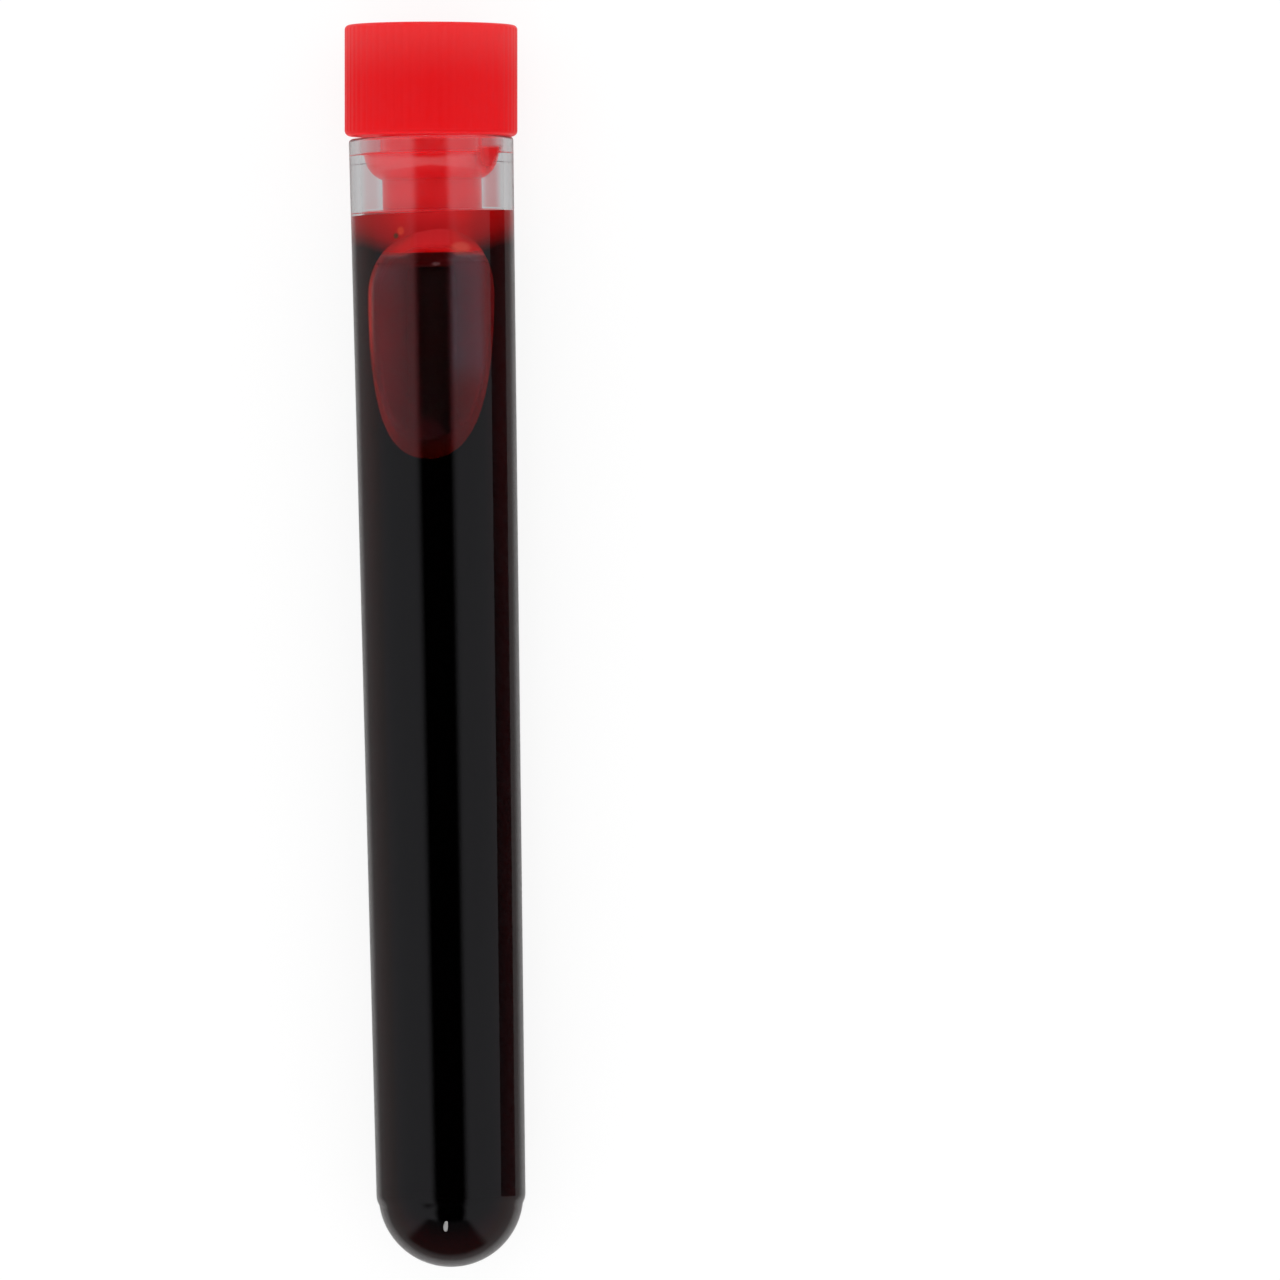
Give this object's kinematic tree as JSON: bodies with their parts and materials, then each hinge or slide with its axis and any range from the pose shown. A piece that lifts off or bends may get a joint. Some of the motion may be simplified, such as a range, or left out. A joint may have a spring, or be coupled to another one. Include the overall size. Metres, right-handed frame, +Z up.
{
  "type": "blood collection tube",
  "caption": "Clear plastic blood collection tube with a round end, full of dark blood with an air pocket, closed by a ribbed red push-in stopper that pulls out.",
  "frame": {"origin": "on the ground, under the middle of the tube's bounding box", "axes": "+Z up, +Y along the tube towards its stopper; the tube lies on its side and its axis rises 0.64 degrees towards +Y, because the stopper's head is wider than the round end"},
  "size_m": [0.0152, 0.1102, 0.0154],
  "materials": {
    "clear_polystyrene": "clear, polished",
    "red_polyethylene": "satin, slightly translucent, finely ribbed side",
    "blood": "dark liquid, glossy where it is free"
  },
  "bodies": {
    "tube_body": {"tube": "clear_polystyrene", "blood": "blood"},
    "stopper_body": {"stopper": "red_polyethylene"}
  },
  "joints": [
    {"name": "stopper_pull", "type": "slide", "parent": "tube_body", "child": "stopper_body", "axis": [0, 0.9999, 0.0112], "range_m": [0, 0.012]}
  ]
}
